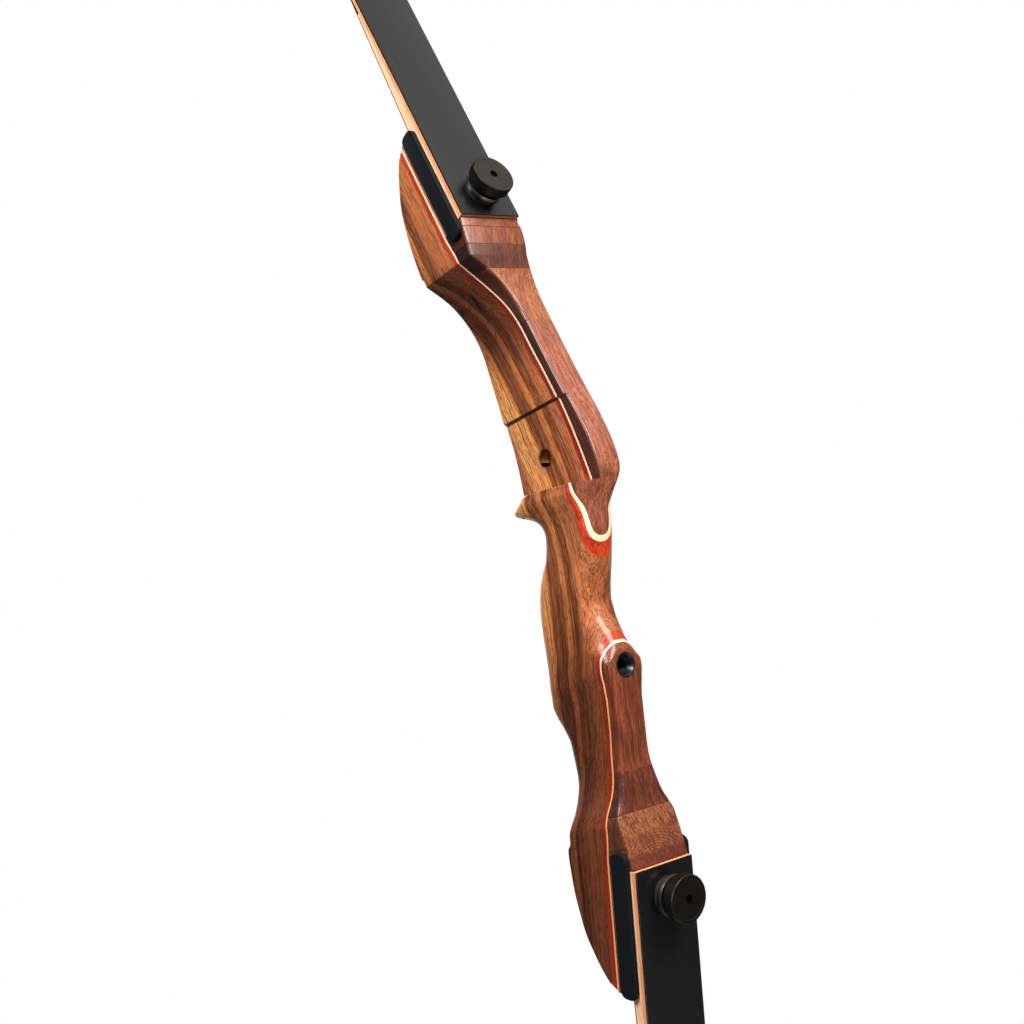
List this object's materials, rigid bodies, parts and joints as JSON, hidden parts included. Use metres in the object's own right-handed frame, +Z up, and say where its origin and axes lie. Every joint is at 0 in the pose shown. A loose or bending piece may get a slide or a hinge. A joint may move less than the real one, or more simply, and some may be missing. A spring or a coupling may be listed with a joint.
{
  "type": "take-down recurve bow",
  "caption": "Laminated wooden riser with shaped grip, arrow shelf and sight window, two glass-faced recurve limbs held by knurled limb bolts.",
  "frame": {"origin": "middle of the grip throat, on the line between the two limb butts", "axes": "+Z up along the bow, +Y to the target (back of the bow), +X to the arrow shelf side"},
  "size_m": [0.0502, 0.1363, 1.5364],
  "materials": {
    "riser_walnut": "satin, banded brown grain",
    "red_wood": "satin, red dyed",
    "maple": "satin, pale",
    "back_wood": "satin, reddish brown",
    "dark_wood": "satin, dark red brown",
    "black_plate": "matte black",
    "brass": "machined",
    "steel": "machined",
    "black_metal": "black, satin",
    "back_glass": "black fibreglass, satin",
    "belly_glass": "clear fibreglass over wood",
    "limb_core_wood": "satin",
    "limb_wedge_wood": "satin, pale",
    "tip_wood": "satin, dark",
    "bronze_metal": "dark bronze, knurled rim",
    "satin_metal": "satin",
    "black_plastic": "matte"
  },
  "bodies": {
    "riser": {"riser_core": "riser_walnut", "upper_red_lamination": "red_wood", "upper_maple_lamination": "maple", "lower_red_lamination": "red_wood", "lower_maple_lamination": "maple", "upper_limb_pad": "riser_walnut", "lower_limb_pad": "riser_walnut", "upper_back_block_1": "back_wood", "upper_back_block_2": "back_wood", "upper_back_block_3": "dark_wood", "upper_back_block_4": "back_wood", "upper_back_strip": "back_wood", "lower_back_block_1": "dark_wood", "lower_back_block_2": "back_wood", "lower_back_block_3": "dark_wood", "lower_back_strip": "back_wood", "upper_left_side_plate": "black_plate", "upper_right_side_plate": "black_plate", "lower_left_side_plate": "black_plate", "lower_right_side_plate": "black_plate", "upper_limb_insert": "brass", "lower_limb_insert": "brass", "upper_locating_pin": "steel", "lower_locating_pin": "steel", "stabilizer_bushing": "black_metal", "plunger_bushing": "brass", "sight_bushings": "brass"},
    "upper_limb": {"upper_back_glass": "back_glass", "upper_limb_core": "limb_core_wood", "upper_limb_wedge": "limb_wedge_wood", "upper_belly_glass": "belly_glass", "upper_tip_overlay": "tip_wood"},
    "upper_thrust_bearing": {"upper_thrust_collar": "satin_metal", "upper_limb_washer": "black_plastic"},
    "upper_limb_bolt": {"upper_limb_knob": "bronze_metal", "upper_limb_bolt": "steel"},
    "lower_limb": {"lower_back_glass": "back_glass", "lower_limb_core": "limb_core_wood", "lower_limb_wedge": "limb_wedge_wood", "lower_belly_glass": "belly_glass", "lower_tip_overlay": "tip_wood"},
    "lower_thrust_bearing": {"lower_thrust_collar": "satin_metal", "lower_limb_washer": "black_plastic"},
    "lower_limb_bolt": {"lower_limb_knob": "bronze_metal", "lower_limb_bolt": "steel"}
  },
  "joints": [
    {"name": "upper_bolt_travel", "type": "slide", "parent": "riser", "child": "upper_thrust_bearing", "axis": [0, 0.9636, 0.2672], "range_m": [0, 0.02822]},
    {"name": "upper_limb_lift", "type": "slide", "parent": "riser", "child": "upper_limb", "axis": [0, 0.9636, 0.2672], "range_m": [0, 0.02823]},
    {"name": "upper_knob_turn", "type": "hinge", "parent": "upper_thrust_bearing", "child": "upper_limb_bolt", "pos_m": [0, -0.00468, 0.21286], "axis": [0, 0.9636, 0.2672], "range_deg": [0, 7200]},
    {"name": "lower_bolt_travel", "type": "slide", "parent": "riser", "child": "lower_thrust_bearing", "axis": [0, 0.9636, -0.2672], "range_m": [0, 0.02822]},
    {"name": "lower_limb_lift", "type": "slide", "parent": "riser", "child": "lower_limb", "axis": [0, 0.9636, -0.2672], "range_m": [0, 0.02823]},
    {"name": "lower_knob_turn", "type": "hinge", "parent": "lower_thrust_bearing", "child": "lower_limb_bolt", "pos_m": [0, -0.00468, -0.21286], "axis": [0, 0.9636, -0.2672], "range_deg": [0, 7200]}
  ],
  "couplings": [
    {"joint": "upper_knob_turn", "follows": "upper_bolt_travel", "rad_per_m": 4452.7},
    {"joint": "upper_limb_lift", "follows": "upper_bolt_travel", "ratio": 1},
    {"joint": "lower_knob_turn", "follows": "lower_bolt_travel", "rad_per_m": 4452.7},
    {"joint": "lower_limb_lift", "follows": "lower_bolt_travel", "ratio": 1}
  ]
}
